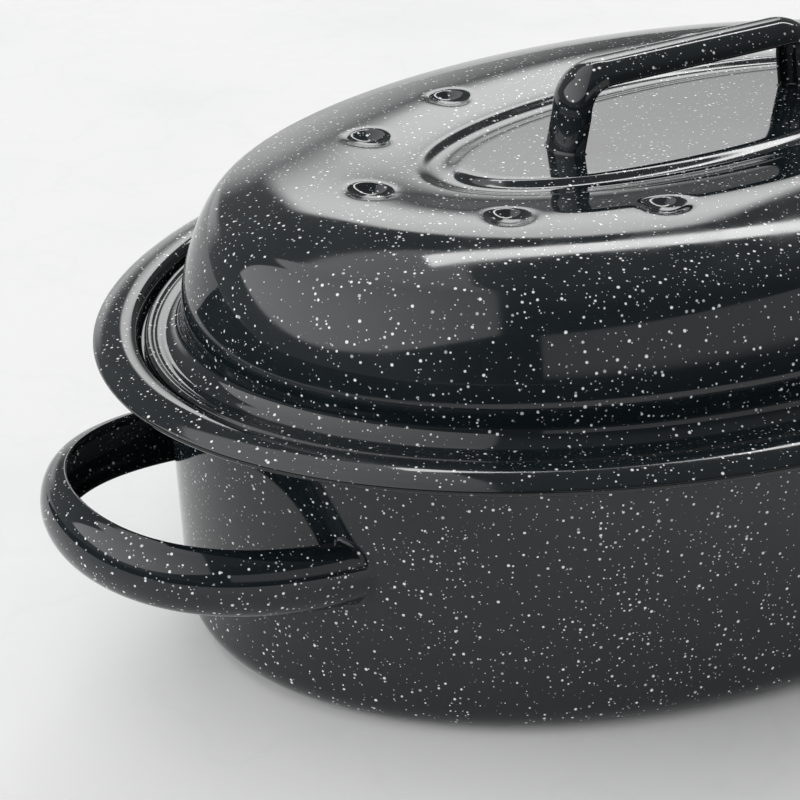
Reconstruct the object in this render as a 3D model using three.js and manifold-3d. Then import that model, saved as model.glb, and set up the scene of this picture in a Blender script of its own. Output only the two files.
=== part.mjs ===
// Covered oval roaster in speckled enamelled steel: an oval pan with two loop handles, a
// domed lid with a strap handle, and a lift-out wire rack that stands on the pan floor.
// Millimetres, +Z up, X along the oval. The pan stands on z = 0, centred on the origin.
import * as THREE from 'three';
import { mergeVertices } from 'three/addons/utils/BufferGeometryUtils.js';
import Module from 'manifold-3d';

const wasm = await Module();
wasm.setup();

// ---- driving sizes ----
const RIM_LENGTH = 474;        // rim outer edge, along X
const RIM_WIDTH = 330;         // rim outer edge, along Y
const SHEET = 1.2;             // steel sheet with its enamel on both sides
const GAP = 0.3;               // clearance between touching pieces
const SEGMENTS = 56;           // facets around the oval

const LIP_BOTTOM = 112.6;      // hemmed lip of the pan rim
const CREST = 118.4;           // highest line of the pan flange
const LEDGE = 111.4;           // seat of the lid inside the flange
const WALL_TOP_INSET = 25;     // pan wall, outside, below the ledge
const WALL_BASE_INSET = 27.9;  // pan wall, outside, above the base corner
const BASE_RADIUS = 14.5;      // base corner, outside

const BEAD_INSET = 20.1;       // rolled edge of the lid
const BEAD_RADIUS = 1.8;
const BEAD_HEIGHT = 113.6;     // centre of the bead
const TROUGH = 113;            // lid flange just inside the bead
const FILLET_RADIUS = 7;       // lid flange up to the lid wall
const DOME_INSET = 25.3;       // foot of the dome's side curve, hidden below the fillet
const DOME_FOOT = 60.8;
const SHOULDER_RISE = 93.3;    // side curve: a quarter ellipse, this high
const SHOULDER_REACH = 23.3;   // and this far inwards
const CROWN_RISE = 16.2;       // the top's own curve, added to the side curve
const CROWN_REACH = 65;
const CROWN_POWER = 1.72;
const DOME_TOP = DOME_FOOT + SHOULDER_RISE + CROWN_RISE;
const PLATEAU = 168;           // flat middle that carries the lid handle
const GROOVE_OUTER = [117, 52];// half sizes of the groove's outer edge
const GROOVE_WIDTH = 18;
const GROOVE_DEPTH = 1.8;
const GROOVE_STEPS = 6;
const SHOULDER_STEPS = 7;
const CROWN_STEPS = 3;
const DIMPLE_RADIUS = 8.6;
const DIMPLE_DEPTH = 3.2;
const DIMPLE_SPOTS = [[139.3, 0], [113.2, 45], [63.3, 66]]; // one quarter, mirrored

const RACK_HALF = [186, 114];  // centre line of the rack's rim wire
const RACK_RIM_WIRE = 4;
const RACK_BAR_WIRE = 3;
const RACK_RIM_HEIGHT = 14;    // centre of the rim wire above the table
const RACK_BAR_COUNT = 9;
const RACK_BAR_PITCH = 38;
const RACK_RUNNER_OFFSET = 44; // runners either side of the middle
const RACK_FOOT_X = 110;
const RACK_FOOT_SPREAD = 9;
const RACK_LIFT_SPREAD = 28;
const RACK_LIFT_TOP = 96;

const STRAP_SHEET = 1.5;       // pressed strap of all three handles
const SIDE_STRAP_WIDTH = 23.8;
const SIDE_STRAP_BULGE = 8;
const SIDE_PIVOT = [200, 65.2];// the loop tilts about this point near the wall
const SIDE_TILT = 6.8;         // degrees that the loop rises towards its tip
const SIDE_REACH = 258;        // inner face of the loop's tip from the middle of the pan
const SIDE_FOOT = [180, 60.5]; // where the loop enters the wall
const SIDE_BEND = [247, 61];   // shapes the loop's sides
const SIDE_TURN = 22;          // shapes the loop's tip

const GRIP_FOOT = 55.6;        // legs of the lid handle at the plateau
const LEG_SPLAY = 2.9;
const GRIP_HEIGHT = 192.4;     // lower edge of the grip
const GRIP_BEND = 11;
const GRIP_WIDTH = 19;
const GRIP_BULGE = 7;

const HALF_LENGTH = RIM_LENGTH / 2;
const HALF_WIDTH = RIM_WIDTH / 2;

// ---- materials ----
const enamel = () => new THREE.MeshStandardMaterial({ color: 0x23292c, roughness: 0.12, metalness: 0 });
const wire = () => new THREE.MeshStandardMaterial({ color: 0xb9bcbd, roughness: 0.3, metalness: 1 });

// ---- solids ----
function toSolid(geometry) {
  const plain = geometry.clone();
  plain.deleteAttribute('normal');
  plain.deleteAttribute('uv');
  const merged = mergeVertices(plain, 1e-4);
  const mesh = new wasm.Mesh({
    numProp: 3,
    vertProperties: new Float32Array(merged.attributes.position.array),
    triVerts: new Uint32Array(merged.index.array),
  });
  return new wasm.Manifold(mesh);
}

function toGeometry(solid) {
  const mesh = solid.getMesh();
  const geometry = new THREE.BufferGeometry();
  geometry.setAttribute('position', new THREE.BufferAttribute(mesh.vertProperties, 3));
  geometry.setIndex(new THREE.BufferAttribute(mesh.triVerts, 1));
  geometry.computeVertexNormals();
  return geometry;
}

// ---- oval bodies ----
// Half width of the oval whose half length is a: equal insets near the rim, then the groove
// and the plateau, which are a little slimmer.
function ovalHalfWidth(a) {
  const [grooveLength, grooveWidth] = GROOVE_OUTER;
  const innerLength = grooveLength - GROOVE_WIDTH;
  const innerWidth = grooveWidth - GROOVE_WIDTH;
  const domeLength = HALF_LENGTH - DOME_INSET - CROWN_REACH;
  const domeWidth = HALF_WIDTH - DOME_INSET - CROWN_REACH;
  if (a >= domeLength) return a - HALF_LENGTH + HALF_WIDTH;
  if (a <= innerLength) return a * innerWidth / innerLength;
  if (a <= grooveLength) return a - grooveLength + grooveWidth;
  return THREE.MathUtils.mapLinear(a, grooveLength, domeLength, grooveWidth, domeWidth);
}

// Turns a closed outline of [half length, height] points into a body with oval rings.
function ovalLathe(outline, halfWidth = ovalHalfWidth, segments = SEGMENTS) {
  const points = outline.map(([a, z]) => new THREE.Vector2(a, z));
  const geometry = new THREE.LatheGeometry(points, segments);
  geometry.rotateX(Math.PI / 2);
  const position = geometry.attributes.position;
  for (let i = 0; i < position.count; i += 1) {
    const a = points[i % points.length].x;
    const stretch = a > 0 ? halfWidth(a) / a : 1;
    position.setY(i, position.getY(i) * stretch);
  }
  return geometry;
}

// Points of an arc in the outline's plane, angles in degrees, both ends included.
function arc(centreA, centreZ, radius, from, to, steps) {
  const points = [];
  for (let i = 0; i <= steps; i += 1) {
    const angle = THREE.MathUtils.degToRad(THREE.MathUtils.lerp(from, to, i / steps));
    points.push([centreA + radius * Math.cos(angle), centreZ + radius * Math.sin(angle)]);
  }
  return points;
}

// Moves an outline sideways by a distance, to the left of its direction of travel.
function offsetOutline(outline, distance) {
  return outline.map(([a, z], i) => {
    const before = outline[Math.max(i - 1, 0)];
    const after = outline[Math.min(i + 1, outline.length - 1)];
    const run = new THREE.Vector2(after[0] - before[0], after[1] - before[1]).normalize();
    return [Math.max(a - run.y * distance, 0), z + run.x * distance];
  });
}

// ---- pan ----
const inset = (d) => HALF_LENGTH - d;

function panOuterOutline() {
  const corner = inset(WALL_BASE_INSET) - BASE_RADIUS;
  return [
    [0, 0],
    ...arc(corner, BASE_RADIUS, BASE_RADIUS, -90, 0, 4),
    [inset(WALL_TOP_INSET), LEDGE - 5],
  ];
}

function panGeometry() {
  const corner = inset(WALL_BASE_INSET) - BASE_RADIUS;
  const bend = 3;
  const wallTop = inset(WALL_TOP_INSET);
  return ovalLathe([
    ...panOuterOutline(),
    ...arc(wallTop + bend, LEDGE - SHEET - bend, bend, 180, 90, 2).slice(1),
    [inset(14.6), LEDGE - SHEET],
    [inset(13.6), CREST - 2.2],
    [inset(10), CREST - SHEET],
    [inset(5), CREST - 2.2],
    [inset(2.2), CREST - 4],
    [inset(2), LIP_BOTTOM],
    [inset(0.6), LIP_BOTTOM],
    [inset(0), CREST - 4.4],
    [inset(1), CREST - 3],
    [inset(4), CREST - 1.2],
    [inset(8.5), CREST - 0.2],
    [inset(12.5), CREST],
    [inset(14.9), CREST - 1.1],
    [inset(16), CREST - 3.2],
    [inset(16.4), LEDGE + 1],
    [inset(17.4), LEDGE],
    [inset(WALL_TOP_INSET - 1.8), LEDGE],
    [inset(WALL_TOP_INSET + 0.6), LEDGE - 0.9],
    [inset(WALL_TOP_INSET) - SHEET, LEDGE - 4],
    ...arc(corner, BASE_RADIUS, BASE_RADIUS - SHEET, 0, -90, 4),
    [0, SHEET],
  ]);
}

// Section of a pressed strap: a crescent across the given half width, bulging along y to the
// given side (1 or -1).
function strapSection(halfWidth, bulge, side, steps) {
  const halfRound = arc(0, 0, 1, 0, 180, steps);
  const rim = (w, h) => halfRound.map(([x, y]) => new THREE.Vector2(x * w, y * h * side));
  const outer = rim(halfWidth, bulge);
  const inner = rim(halfWidth - STRAP_SHEET, bulge - STRAP_SHEET).reverse();
  return new THREE.Shape([...outer, ...inner]);
}

// Loop of pressed strap round one end of the pan, trimmed to the wall it is welded to.
function sideHandleGeometry() {
  const [pivotX, pivotZ] = SIDE_PIVOT;
  const at = ([x, y]) => new THREE.Vector3(pivotX - x, y, 0);
  const mirror = ([x, y]) => [x, -y];
  const tip = at([SIDE_REACH, 0]);
  const far = [[SIDE_REACH, SIDE_TURN], SIDE_BEND, SIDE_FOOT];
  const near = far.map(mirror).reverse();
  const path = new THREE.CurvePath();
  path.add(new THREE.CubicBezierCurve3(...near.map(at), tip));
  path.add(new THREE.CubicBezierCurve3(tip, ...far.map(at)));
  const section = strapSection(SIDE_STRAP_WIDTH / 2, SIDE_STRAP_BULGE, 1, 7);
  const loop = new THREE.ExtrudeGeometry(section, { steps: 24, extrudePath: path });
  loop.rotateY(THREE.MathUtils.degToRad(SIDE_TILT));
  loop.translate(-pivotX, 0, pivotZ);
  const wall = toSolid(ovalLathe(offsetOutline([...panOuterOutline(), [0, LEDGE - 5]], -GAP)));
  return toGeometry(toSolid(loop).subtract(wall));
}

// ---- lid ----
// Dome from its foot to the end of the crown: a side curve and the crown's curve, added up.
// The angle runs round the side curve; beyond a quarter turn only the crown goes on.
function domePoint(angle) {
  const inward = SHOULDER_REACH * (1 - Math.cos(angle));
  return domeAt(inward, SHOULDER_RISE * Math.sin(angle));
}

function domeAt(inward, sideRise) {
  const crown = CROWN_RISE * (1 - (1 - inward / CROWN_REACH) ** CROWN_POWER);
  return [inset(DOME_INSET + inward), DOME_FOOT + sideRise + crown];
}

// Upper side of the lid from its flange to the middle.
function lidTopOutline() {
  const footLine = TROUGH + FILLET_RADIUS;
  const startAngle = Math.asin((footLine - DOME_FOOT) / (SHOULDER_RISE + 1.5));
  const shoulder = [];
  for (let i = 0; i <= SHOULDER_STEPS; i += 1) {
    shoulder.push(domePoint(THREE.MathUtils.lerp(startAngle, Math.PI / 2, i / SHOULDER_STEPS)));
  }
  for (let i = 1; i <= CROWN_STEPS; i += 1) {
    const inward = THREE.MathUtils.lerp(SHOULDER_REACH, CROWN_REACH, i / CROWN_STEPS);
    shoulder.push(domeAt(inward, SHOULDER_RISE));
  }
  const filletCentre = shoulder[0][0] + FILLET_RADIUS;
  const flange = arc(filletCentre, shoulder[0][1], FILLET_RADIUS, 270, 180, 3).slice(0, -1);
  const grooveMiddle = GROOVE_OUTER[0] - GROOVE_WIDTH / 2;
  const groove = [];
  for (let i = 0; i <= GROOVE_STEPS; i += 1) {
    const across = i / GROOVE_STEPS;
    const dip = GROOVE_DEPTH * Math.sin(Math.PI * across) ** 1.5;
    groove.push([grooveMiddle + GROOVE_WIDTH * (0.5 - across), PLATEAU - dip]);
  }
  return [[inset(BEAD_INSET + BEAD_RADIUS - 0.1), TROUGH], ...flange, ...shoulder, ...groove, [0, PLATEAU]];
}

// One ball for every self-basting dimple, all of the given radius.
function dimpleBalls(radius, lift) {
  const ball = new THREE.SphereGeometry(radius, 12, 18).rotateX(Math.PI / 2);
  const balls = [];
  const domeEdge = inset(DOME_INSET + CROWN_REACH);
  for (const [x, y] of DIMPLE_SPOTS) {
    const a = Math.hypot(x, y * domeEdge / ovalHalfWidth(domeEdge));
    const surface = THREE.MathUtils.mapLinear(a, GROOVE_OUTER[0], domeEdge, PLATEAU, DOME_TOP);
    const mirrored = y === 0 ? [[1, 1], [-1, 1]] : [[1, 1], [-1, 1], [1, -1], [-1, -1]];
    for (const [sx, sy] of mirrored) {
      balls.push(toSolid(ball.clone().translate(sx * x, sy * y, surface + lift)));
    }
  }
  return wasm.Manifold.union(balls);
}

function lidShellGeometry() {
  const top = lidTopOutline();
  const bead = arc(inset(BEAD_INSET), BEAD_HEIGHT, BEAD_RADIUS, -90, 160, 5);
  const seat = BEAD_HEIGHT - BEAD_RADIUS;
  const under = offsetOutline(top, SHEET);
  const beadInner = inset(BEAD_INSET + BEAD_RADIUS);
  const outside = toSolid(ovalLathe([[0, seat], ...bead, ...top]));
  const below = seat - 5;
  const core = [[0, below], [beadInner, below], [beadInner, TROUGH - SHEET], ...under.slice(1)];
  const inside = toSolid(ovalLathe(core));
  const ballRadius = (DIMPLE_RADIUS ** 2 + DIMPLE_DEPTH ** 2) / (2 * DIMPLE_DEPTH);
  const lift = ballRadius - DIMPLE_DEPTH;
  const pressed = outside.subtract(dimpleBalls(ballRadius, lift));
  return toGeometry(pressed.subtract(inside.subtract(dimpleBalls(ballRadius + SHEET, lift))));
}

// Strap across the plateau: two slightly splayed legs and a straight grip.
function lidHandleGeometry() {
  const bendX = GRIP_FOOT - LEG_SPLAY;
  const gripEnd = bendX - GRIP_BEND;
  const bendStart = GRIP_HEIGHT - GRIP_BEND;
  const at = (x, z) => new THREE.Vector3(x, 0, z);
  const half = (side) => [at(side * GRIP_FOOT, PLATEAU - 2), at(side * bendX, bendStart),
    at(side * bendX, GRIP_HEIGHT), at(side * gripEnd, GRIP_HEIGHT)];
  const [leftFoot, leftBend, leftCorner, leftGrip] = half(-1);
  const [rightFoot, rightBend, rightCorner, rightGrip] = half(1);
  const path = new THREE.CurvePath();
  path.add(new THREE.LineCurve3(leftFoot, leftBend));
  path.add(new THREE.QuadraticBezierCurve3(leftBend, leftCorner, leftGrip));
  path.add(new THREE.LineCurve3(leftGrip, rightGrip));
  path.add(new THREE.QuadraticBezierCurve3(rightGrip, rightCorner, rightBend));
  path.add(new THREE.LineCurve3(rightBend, rightFoot));
  const section = strapSection(GRIP_WIDTH / 2, GRIP_BULGE, -1, 7);
  const strap = toSolid(new THREE.ExtrudeGeometry(section, { steps: 30, extrudePath: path }));
  const below = new THREE.BoxGeometry(RIM_LENGTH, RIM_WIDTH, 20);
  below.translate(0, 0, PLATEAU + GAP - 10);
  return toGeometry(strap.subtract(toSolid(below)));
}

// ---- rack ----
// Length of a straight wire across the inside of the rack's rim, along X or along Y.
function chord(along, offset) {
  const [halfX, halfY] = RACK_HALF;
  const [reach, side] = along === 'x' ? [halfX, halfY] : [halfY, halfX];
  return 2 * reach * Math.sqrt(1 - (offset / side) ** 2);
}

function rackRimGeometry() {
  const [halfX, halfY] = RACK_HALF;
  const ring = arc(halfX, 0, RACK_RIM_WIRE / 2, 0, -360, 6);
  ring[ring.length - 1] = ring[0];
  return ovalLathe(ring.reverse(), (a) => a - halfX + halfY, 48);
}

// A straight round wire along X or Y, centred on its own origin.
function straightWire(along, length, diameter) {
  const rod = new THREE.CylinderGeometry(diameter / 2, diameter / 2, length, 8);
  return along === 'x' ? rod.rotateZ(Math.PI / 2) : rod;
}

// A bent round wire through corner points, with every corner rounded.
function bentWire(corners, bend, diameter, steps) {
  const path = new THREE.CurvePath();
  let from = corners[0];
  for (let i = 1; i < corners.length - 1; i += 1) {
    const corner = corners[i];
    const enter = corner.clone().lerp(corners[i - 1], bend / corner.distanceTo(corners[i - 1]));
    const leave = corner.clone().lerp(corners[i + 1], bend / corner.distanceTo(corners[i + 1]));
    path.add(new THREE.LineCurve3(from, enter));
    path.add(new THREE.QuadraticBezierCurve3(enter, corner, leave));
    from = leave;
  }
  path.add(new THREE.LineCurve3(from, corners[corners.length - 1]));
  const ring = arc(0, 0, diameter / 2, 0, 300, 5);
  const disc = new THREE.Shape(ring.map(([x, y]) => new THREE.Vector2(x, y)));
  return new THREE.ExtrudeGeometry(disc, { steps, extrudePath: path });
}

// Foot under the rim: a short U of wire, open upwards.
function rackFootGeometry() {
  const top = RACK_RIM_HEIGHT - RACK_RIM_WIRE / 2 - GAP;
  const low = SHEET + GAP + RACK_BAR_WIRE / 2;
  const at = (y, z) => new THREE.Vector3(0, y, z);
  const corners = [at(-RACK_FOOT_SPREAD, top), at(-RACK_FOOT_SPREAD, low),
    at(RACK_FOOT_SPREAD, low), at(RACK_FOOT_SPREAD, top)];
  return bentWire(corners, 4, RACK_BAR_WIRE, 9);
}

// Lifting loop that stands on the rim wire at one end of the rack.
function rackLiftGeometry() {
  const low = RACK_RIM_HEIGHT + RACK_RIM_WIRE / 2 + GAP;
  const at = (y, z) => new THREE.Vector3(0, y, z);
  const corners = [at(-RACK_LIFT_SPREAD, low), at(-RACK_LIFT_SPREAD, RACK_LIFT_TOP),
    at(RACK_LIFT_SPREAD, RACK_LIFT_TOP), at(RACK_LIFT_SPREAD, low)];
  return bentWire(corners, 10, RACK_BAR_WIRE, 18);
}

// ---- assembly ----
const group = new THREE.Group();

function place(parent, name, geometry, material, x = 0, y = 0, z = 0) {
  const mesh = new THREE.Mesh(geometry, material);
  mesh.name = name;
  mesh.position.set(x, y, z);
  parent.add(mesh);
  return mesh;
}

function buildPan() {
  const pan = new THREE.Group();
  place(pan, 'pan_body', panGeometry(), enamel());
  const loop = sideHandleGeometry();
  place(pan, 'pan_handle_left', loop, enamel());
  place(pan, 'pan_handle_right', loop, enamel()).rotation.z = Math.PI;
  return pan;
}

function buildLid() {
  const lid = new THREE.Group();
  place(lid, 'lid_shell', lidShellGeometry(), enamel());
  place(lid, 'lid_handle', lidHandleGeometry(), enamel());
  return lid;
}

function buildRack() {
  const rack = new THREE.Group();
  const [halfX, halfY] = RACK_HALF;
  place(rack, 'rack_rim', rackRimGeometry(), wire(), 0, 0, RACK_RIM_HEIGHT);
  const barHeight = RACK_RIM_HEIGHT + (RACK_RIM_WIRE + RACK_BAR_WIRE) / 2 + GAP;
  for (let i = 0; i < RACK_BAR_COUNT; i += 1) {
    const x = (i - (RACK_BAR_COUNT - 1) / 2) * RACK_BAR_PITCH;
    const bar = straightWire('y', chord('y', x), RACK_BAR_WIRE);
    place(rack, `rack_bar_${i + 1}`, bar, wire(), x, 0, barHeight);
  }
  const ends = [['left', -1], ['right', 1]];
  const sides = [['front', -1], ['back', 1]];
  for (const [side, sy] of sides) {
    const length = chord('x', RACK_RUNNER_OFFSET) - RACK_RIM_WIRE - 6;
    const runner = straightWire('x', length, RACK_RIM_WIRE);
    place(rack, `rack_runner_${side}`, runner, wire(), 0, sy * RACK_RUNNER_OFFSET, RACK_RIM_HEIGHT);
  }
  for (const [end, sx] of ends) {
    place(rack, `rack_lift_${end}`, rackLiftGeometry(), wire(), sx * halfX, 0, 0);
    for (const [side, sy] of sides) {
      const x = sx * RACK_FOOT_X;
      const foot = place(rack, `rack_foot_${end}_${side}`, rackFootGeometry(), wire());
      foot.position.set(x, sy * halfY * Math.sqrt(1 - (x / halfX) ** 2), 0);
    }
  }
  return rack;
}

group.add(buildPan(), buildLid(), buildRack());

export default group;
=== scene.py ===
"""Covered oval roaster in speckled enamelled steel, with its lift-out wire rack.

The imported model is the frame. Every piece is made in metres in that frame, rides on one of
its bodies and stands for the solids that it replaces.
"""
from __future__ import annotations

import logging
import math
from dataclasses import dataclass, field
from enum import Enum
from typing import Callable, Sequence

import bpy
import numpy as np
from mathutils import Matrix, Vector


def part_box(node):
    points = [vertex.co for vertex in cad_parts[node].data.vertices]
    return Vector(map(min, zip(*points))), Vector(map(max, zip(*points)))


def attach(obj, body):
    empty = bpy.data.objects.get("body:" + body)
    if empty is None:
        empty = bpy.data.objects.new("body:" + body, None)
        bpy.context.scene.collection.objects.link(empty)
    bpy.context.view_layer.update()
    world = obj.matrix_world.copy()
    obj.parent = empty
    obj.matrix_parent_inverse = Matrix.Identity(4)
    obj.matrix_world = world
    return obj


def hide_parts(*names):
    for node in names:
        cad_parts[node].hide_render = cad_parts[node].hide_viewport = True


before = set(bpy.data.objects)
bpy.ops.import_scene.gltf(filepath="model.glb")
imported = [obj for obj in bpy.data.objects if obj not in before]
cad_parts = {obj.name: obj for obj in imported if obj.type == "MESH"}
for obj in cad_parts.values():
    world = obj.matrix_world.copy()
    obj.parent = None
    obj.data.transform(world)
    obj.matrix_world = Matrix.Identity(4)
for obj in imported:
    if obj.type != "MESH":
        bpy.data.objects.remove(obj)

LOG = logging.getLogger("roaster")
MM = 0.001
Point = tuple[float, float]
Outline = list[Point]
Face = tuple[int, ...]
Colour = tuple[float, float, float, float]


class Body(Enum):
    """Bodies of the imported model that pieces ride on."""

    PAN = "pan"
    LID = "lid"
    RACK = "rack"


class Slot(Enum):
    """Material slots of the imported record."""

    ENAMEL = "enamel"
    WIRE = "rack_wire"


class End(Enum):
    """The two ends of the oval, as signs along X."""

    LEFT = -1
    RIGHT = 1


# ---- outlines and meshes ----
def arc(centre: Point, radius: float, start: float, stop: float, steps: int) -> Outline:
    """Points of an arc.

    Args:
        centre: Centre of the arc.
        radius: Its radius.
        start: First angle in degrees.
        stop: Last angle in degrees.
        steps: Number of spans.

    Returns:
        The points, both ends included.
    """
    angles = np.radians(np.linspace(start, stop, steps + 1))
    return [(centre[0] + radius * math.cos(q), centre[1] + radius * math.sin(q)) for q in angles]


def flowing(points: Sequence[Point], spans: int) -> Outline:
    """Draws one smooth curve through points.

    Args:
        points: Points that the curve passes.
        spans: Number of short spans between two points.

    Returns:
        The curve's points, both ends included.
    """
    given = np.array(points, float)
    held = np.vstack([2 * given[0] - given[1], given, 2 * given[-1] - given[-2]])
    out: Outline = []
    for i in range(1, len(held) - 2):
        p0, p1, p2, p3 = held[i - 1:i + 3]
        for t in np.linspace(0, 1, spans, endpoint=False):
            point = 0.5 * (2 * p1 + (p2 - p0) * t + (2 * p0 - 5 * p1 + 4 * p2 - p3) * t ** 2
                           + (3 * p1 - p0 - 3 * p2 + p3) * t ** 3)
            out.append(tuple(point))
    return out + [tuple(given[-1])]


def shifted(outline: Outline, distance: float) -> Outline:
    """Moves an outline sideways, to the left of its direction of travel.

    Args:
        outline: Points of the outline.
        distance: How far it moves.

    Returns:
        The moved points, never past the axis.
    """
    points = np.array(outline, float)
    run = np.gradient(points, axis=0)
    run /= np.maximum(np.linalg.norm(run, axis=1, keepdims=True), 1e-9)
    moved = points + distance * np.column_stack([-run[:, 1], run[:, 0]])
    moved[:, 0] = np.maximum(moved[:, 0], 0)
    return [tuple(p) for p in moved]


def new_piece(name: str, points: np.ndarray, faces: Sequence[Sequence[int]]) -> bpy.types.Object:
    """Makes a smooth-shaded mesh object with its faces turned outwards.

    Args:
        name: Name of the piece.
        points: Its vertices in metres.
        faces: Its faces.

    Returns:
        The new object, linked to the scene.
    """
    mesh = bpy.data.meshes.new(name)
    mesh.from_pydata([tuple(p) for p in points], [], [tuple(f) for f in faces])
    mesh.validate()
    mesh.shade_smooth()
    piece = bpy.data.objects.new(name, mesh)
    bpy.context.scene.collection.objects.link(piece)
    volume = signed_volume(mesh)
    if volume < 0:
        mesh.flip_normals()
    return piece


def signed_volume(mesh: bpy.types.Mesh) -> float:
    """Adds up the signed volume under a mesh's faces, below zero if they face inwards."""
    mesh.calc_loop_triangles()
    count = len(mesh.loop_triangles)
    corners = np.zeros(count * 3, np.int32)
    mesh.loop_triangles.foreach_get("vertices", corners)
    places = np.zeros(len(mesh.vertices) * 3, np.float32)
    mesh.vertices.foreach_get("co", places)
    a, b, c = places.reshape(-1, 3)[corners.reshape(-1, 3)].transpose(1, 0, 2)
    return float(np.einsum("ij,ij->i", a, np.cross(b, c)).sum() / 6)


def mark(piece: bpy.types.Object, name: str, values: np.ndarray) -> None:
    """Stores one number for each vertex under a name that materials read."""
    held = piece.data.attributes.new(name, "FLOAT", "POINT")
    held.data.foreach_set("value", np.asarray(values, np.float32))


def grid_faces(rows: int, columns: int, wrap_rows: bool, wrap_columns: bool) -> list[Face]:
    """Quads between neighbouring points of a grid.

    Args:
        rows: Number of rows.
        columns: Points in each row.
        wrap_rows: Whether the last row joins the first.
        wrap_columns: Whether each row closes on itself.

    Returns:
        The quads.
    """
    faces = []
    for i in range(rows if wrap_rows else rows - 1):
        k = (i + 1) % rows
        for j in range(columns if wrap_columns else columns - 1):
            m = (j + 1) % columns
            faces.append((i * columns + j, i * columns + m, k * columns + m, k * columns + j))
    return faces


@dataclass
class OvalBody:
    """A sheet body whose rings are ellipses, given by its outline from one end to the other."""

    name: str
    outline: Outline
    half_width: Callable[[float], float]
    around: int = 384

    def rings(self) -> tuple[np.ndarray, list[Face], np.ndarray]:
        """Sweeps the outline round the oval.

        Returns:
            Vertices in millimetres, faces, and each vertex's row in the outline.
        """
        turn = np.linspace(0, 2 * math.pi, self.around, endpoint=False)
        points, starts, rows = [], [], []
        for row, (a, z) in enumerate(self.outline):
            starts.append(len(points))
            if a < 1e-6:
                points.append((0.0, 0.0, z))
                rows.append(row)
                continue
            b = self.half_width(a)
            points.extend((a * math.cos(q), b * math.sin(q), z) for q in turn)
            rows.extend([row] * self.around)
        faces: list[Face] = []
        count = len(self.outline)
        for i in range(count):
            k = (i + 1) % count
            pole_i, pole_k = self.outline[i][0] < 1e-6, self.outline[k][0] < 1e-6
            if pole_i and pole_k:
                continue
            for j in range(self.around):
                m = (j + 1) % self.around
                first = (starts[i],) if pole_i else (starts[i] + j, starts[i] + m)
                second = (starts[k],) if pole_k else (starts[k] + m, starts[k] + j)
                faces.append(first + second)
        return np.array(points), faces, np.array(rows)


@dataclass
class Path3D:
    """A smooth line in space with its directions, read by a share from 0 to 1."""

    points: np.ndarray
    across: Vector

    def __post_init__(self) -> None:
        """Works out lengths and directions along the line."""
        steps = np.linalg.norm(np.diff(self.points, axis=0), axis=1)
        self.share = np.concatenate([[0], np.cumsum(steps)]) / steps.sum()
        run = np.gradient(self.points, axis=0)
        kernel = np.ones(7) / 7
        padded = np.pad(run, ((3, 3), (0, 0)), mode="edge")
        run = np.column_stack([np.convolve(padded[:, i], kernel, "valid") for i in range(3)])
        self.run = run / np.linalg.norm(run, axis=1, keepdims=True)
        self.side = np.array(self.across)
        out = np.cross(self.run, self.side)
        self.out = out / np.linalg.norm(out, axis=1, keepdims=True)

    def at(self, share: float, across: float, outwards: float) -> np.ndarray:
        """A point beside the line.

        Args:
            share: Place along the line.
            across: Distance along the width direction.
            outwards: Distance away from the inside of the bend.

        Returns:
            The point.
        """
        place = [np.interp(share, self.share, self.points[:, i]) for i in range(3)]
        out = np.array([np.interp(share, self.share, self.out[:, i]) for i in range(3)])
        return np.array(place) + self.side * across + out * outwards


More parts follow.
